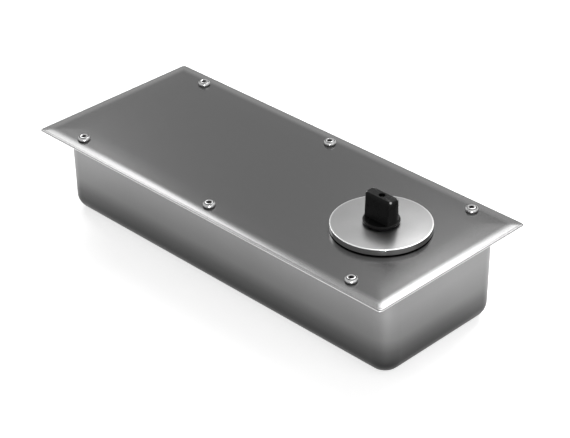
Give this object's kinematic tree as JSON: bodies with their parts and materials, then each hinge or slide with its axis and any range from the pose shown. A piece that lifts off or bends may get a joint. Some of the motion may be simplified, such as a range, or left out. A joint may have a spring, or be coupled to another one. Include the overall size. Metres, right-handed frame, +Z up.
{
  "type": "underfloor door operator",
  "caption": "Electric door operator sunk in the floor: deep box under a brushed cover plate, with a turning disc and a flat-conical spindle that swings the door.",
  "frame": {"origin": "on the spindle axis, level with the flat top of the cover plate (the finished floor)", "axes": "+Z up along the spindle axis, +X along the cover plate towards the end nearer the spindle"},
  "size_m": [0.3981, 0.1648, 0.1099],
  "materials": {
    "stainless": "brushed",
    "screw_steel": "polished",
    "box_grey": "satin",
    "black_steel": "satin",
    "rubber": "matt",
    "zinc_steel": "satin",
    "cast_alloy": "cast",
    "gear_steel": "ground",
    "bearing_steel": "polished",
    "motor_paint": "satin",
    "lamination": "matt",
    "magnet": "matt",
    "copper": "enamelled",
    "bronze": "sintered",
    "board": "gloss",
    "black_plastic": "matt",
    "grey_plastic": "matt"
  },
  "bodies": {
    "housing": {"floor_box": "box_grey", "box_gasket": "rubber", "cover_plate": "stainless", "cover_screws": "screw_steel", "drive_plate": "zinc_steel", "drive_plate_screws": "zinc_steel", "unit_screws": "zinc_steel", "gearcase_body": "cast_alloy", "gearcase_cover": "cast_alloy", "gearcase_screws": "zinc_steel", "shaft_seal": "rubber", "upper_bearing_outer": "bearing_steel", "lower_bearing_outer": "bearing_steel", "stop_buffers": "rubber", "pinion_bearing_outers": "bearing_steel", "gearhead_housing": "gear_steel", "gearhead_screws": "zinc_steel", "motor_front_cap": "cast_alloy", "motor_can": "motor_paint", "motor_end_cap": "cast_alloy", "motor_bushes": "bronze", "stator_core": "lamination", "stator_coils": "copper", "sensor_board": "board", "sensor_cover": "black_plastic", "motor_lead": "black_plastic", "motor_cradle": "zinc_steel", "junction_box": "grey_plastic", "junction_lid": "grey_plastic", "terminal_block": "grey_plastic", "gland_body": "black_plastic", "gland_nut": "black_plastic"},
    "spindle": {"output_shaft": "gear_steel", "shaft_keys": "gear_steel", "bevel_wheel": "gear_steel", "stop_arm": "gear_steel", "lower_bearing_inner": "bearing_steel", "upper_bearing_inner": "bearing_steel", "dust_disc": "stainless", "disc_seal": "rubber", "spindle_insert": "black_steel", "spindle_screw": "gear_steel"},
    "slow_carrier": {"bevel_pinion": "gear_steel", "pinion_bearing_inners": "bearing_steel", "carrier_2": "gear_steel"},
    "fast_carrier": {"carrier_1": "gear_steel", "sun_gear_2": "gear_steel"},
    "rotor": {"rotor_shaft": "gear_steel", "rotor_core": "lamination", "rotor_magnets": "magnet", "sun_gear_1": "gear_steel"},
    "upper_rollers": {"upper_bearing_rollers": "bearing_steel"},
    "lower_rollers": {"lower_bearing_rollers": "bearing_steel"},
    "planet_2_1": {"planet_2_1": "gear_steel"},
    "planet_2_2": {"planet_2_2": "gear_steel"},
    "planet_2_3": {"planet_2_3": "gear_steel"},
    "planet_1_1": {"planet_1_1": "gear_steel"},
    "planet_1_2": {"planet_1_2": "gear_steel"},
    "planet_1_3": {"planet_1_3": "gear_steel"}
  },
  "joints": [
    {"name": "spindle_turn", "type": "hinge", "parent": "housing", "child": "spindle", "pos_m": [0, 0, 0], "axis": [0, 0, 1], "range_deg": [-105, 105]},
    {"name": "slow_carrier_turn", "type": "hinge", "parent": "housing", "child": "slow_carrier", "pos_m": [0, 0, -0.0395], "axis": [-1, 0, 0], "range_deg": [-315, 315]},
    {"name": "fast_carrier_turn", "type": "hinge", "parent": "housing", "child": "fast_carrier", "pos_m": [0, 0, -0.0395], "axis": [-1, 0, 0], "range_deg": [-1260, 1260]},
    {"name": "rotor_turn", "type": "hinge", "parent": "housing", "child": "rotor", "pos_m": [0, 0, -0.0395], "axis": [-1, 0, 0], "range_deg": [-5040, 5040]},
    {"name": "upper_rollers_turn", "type": "hinge", "parent": "housing", "child": "upper_rollers", "pos_m": [0, 0, 0], "axis": [0, 0, 1], "range_deg": [-45.26, 45.26]},
    {"name": "lower_rollers_turn", "type": "hinge", "parent": "housing", "child": "lower_rollers", "pos_m": [0, 0, 0], "axis": [0, 0, 1], "range_deg": [-44.08, 44.08]},
    {"name": "planet_2_1_turn", "type": "hinge", "parent": "slow_carrier", "child": "planet_2_1", "pos_m": [0, 0, -0.0245], "axis": [-1, 0, 0], "range_deg": [-945, 945]},
    {"name": "planet_2_2_turn", "type": "hinge", "parent": "slow_carrier", "child": "planet_2_2", "pos_m": [0, 0.01299, -0.047], "axis": [-1, 0, 0], "range_deg": [-945, 945]},
    {"name": "planet_2_3_turn", "type": "hinge", "parent": "slow_carrier", "child": "planet_2_3", "pos_m": [0, -0.01299, -0.047], "axis": [-1, 0, 0], "range_deg": [-945, 945]},
    {"name": "planet_1_1_turn", "type": "hinge", "parent": "fast_carrier", "child": "planet_1_1", "pos_m": [0, 0, -0.0245], "axis": [-1, 0, 0], "range_deg": [-3780, 3780]},
    {"name": "planet_1_2_turn", "type": "hinge", "parent": "fast_carrier", "child": "planet_1_2", "pos_m": [0, 0.01299, -0.047], "axis": [-1, 0, 0], "range_deg": [-3780, 3780]},
    {"name": "planet_1_3_turn", "type": "hinge", "parent": "fast_carrier", "child": "planet_1_3", "pos_m": [0, -0.01299, -0.047], "axis": [-1, 0, 0], "range_deg": [-3780, 3780]}
  ],
  "couplings": [
    {"joint": "slow_carrier_turn", "follows": "spindle_turn", "ratio": 3},
    {"joint": "fast_carrier_turn", "follows": "spindle_turn", "ratio": 12},
    {"joint": "rotor_turn", "follows": "spindle_turn", "ratio": 48},
    {"joint": "upper_rollers_turn", "follows": "spindle_turn", "ratio": 0.43056},
    {"joint": "lower_rollers_turn", "follows": "spindle_turn", "ratio": 0.41935},
    {"joint": "planet_2_1_turn", "follows": "spindle_turn", "ratio": -9},
    {"joint": "planet_2_2_turn", "follows": "spindle_turn", "ratio": -9},
    {"joint": "planet_2_3_turn", "follows": "spindle_turn", "ratio": -9},
    {"joint": "planet_1_1_turn", "follows": "spindle_turn", "ratio": -36},
    {"joint": "planet_1_2_turn", "follows": "spindle_turn", "ratio": -36},
    {"joint": "planet_1_3_turn", "follows": "spindle_turn", "ratio": -36}
  ]
}
